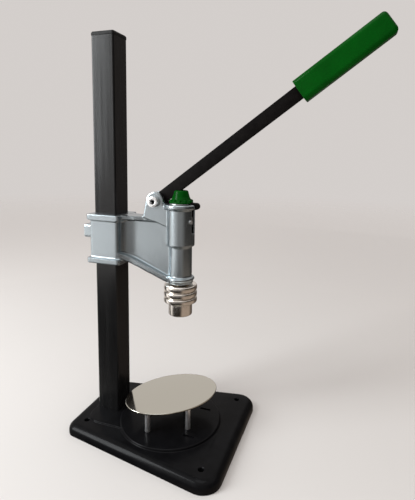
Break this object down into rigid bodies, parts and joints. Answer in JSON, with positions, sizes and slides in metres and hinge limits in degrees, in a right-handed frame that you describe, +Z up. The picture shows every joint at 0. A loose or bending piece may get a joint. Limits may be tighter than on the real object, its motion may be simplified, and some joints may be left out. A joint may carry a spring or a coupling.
{
  "type": "perfume bottle crimper",
  "caption": "Bench crimper for perfume bottles: cast base, square column, sliding cast head and a hand lever that drives a spring-return ram with a slotted crimping collet.",
  "frame": {"origin": "on the bench, on the axis of the column, in the base's flat underside", "axes": "+Z up along the column; -Y forward to the operator, the crimping axis and the hand grip; +X to the right when seen from behind the column, so the head of the pivot bolt is at -X"},
  "size_m": [0.1806, 0.3517, 0.4866],
  "materials": {
    "black_paint": "gloss black stove paint on a casting",
    "column_paint": "satin black paint",
    "plain_steel": "turned or ground steel",
    "zinc_steel": "zinc plated",
    "black_plastic": "moulded black plastic",
    "polished_steel": "mirror polished stainless steel",
    "silver_paint": "silver-grey metallic paint on a casting",
    "bronze": "plain bearing bronze",
    "dark_steel": "black oxide",
    "brass": "plain brass",
    "lever_black": "satin black paint",
    "green_plastic": "glossy green plastic",
    "spring_steel": "bright spring wire",
    "die_steel": "turned stainless steel"
  },
  "bodies": {
    "stand": {"base_plate": "black_paint", "column": "column_paint", "column_foot_block": "plain_steel", "foot_bolts": "zinc_steel", "column_cap": "black_plastic"},
    "riser": {"riser_plate": "polished_steel", "riser_posts": "zinc_steel"},
    "head": {"head_casting": "silver_paint", "guide_bush": "bronze", "guide_screw": "zinc_steel", "pivot_bolt": "zinc_steel", "pivot_nut": "zinc_steel", "thrust_washers": "bronze", "return_spring": "spring_steel"},
    "lock_pad": {"lock_pad": "brass"},
    "lock_screw": {"lock_screw": "dark_steel"},
    "lever": {"lever_bar": "lever_black", "pivot_bush": "bronze", "hand_grip": "green_plastic"},
    "ram": {"ram": "plain_steel", "contact_pin": "plain_steel", "ram_cap": "green_plastic", "ribbed_collar": "die_steel", "collar_screw": "dark_steel", "crimp_sleeve": "die_steel", "collet_spring": "spring_steel"},
    "collet": {"crimp_collet": "die_steel"}
  },
  "joints": [
    {"name": "riser_lift", "type": "slide", "parent": "stand", "child": "riser", "axis": [0, 0, 1], "range_m": [0, 0.015]},
    {"name": "head_slide", "type": "slide", "parent": "stand", "child": "head", "axis": [0, 0, 1], "range_m": [-0.07, 0.2]},
    {"name": "lever_turn", "type": "hinge", "parent": "head", "child": "lever", "pos_m": [0, -0.0642, 0.2915], "axis": [1, 0, 0], "range_deg": [0, 26], "stiffness_Nm_per_rad": 1, "springref_deg": -51.57},
    {"name": "ram_slide", "type": "slide", "parent": "head", "child": "ram", "axis": [0, 0, -1], "range_m": [0, 0.01615], "deforming": ["return_spring"]},
    {"name": "collet_give", "type": "slide", "parent": "ram", "child": "collet", "axis": [0, 0, 1], "range_m": [0, 0.004], "stiffness_N_per_m": 2000, "springref_m": -0.001, "deforming": ["collet_spring"]},
    {"name": "lock_press", "type": "slide", "parent": "head", "child": "lock_pad", "axis": [0, 1, 0], "range_m": [0, 0.00125]},
    {"name": "lock_turn", "type": "hinge", "parent": "lock_pad", "child": "lock_screw", "pos_m": [0, 0.025, 0.249], "axis": [0, 1, 0], "range_deg": [0, 360]}
  ],
  "couplings": [
    {"joint": "ram_slide", "follows": "lever_turn", "m_per_rad": 0.035544},
    {"joint": "lock_turn", "follows": "lock_press", "rad_per_m": 5026.5}
  ]
}
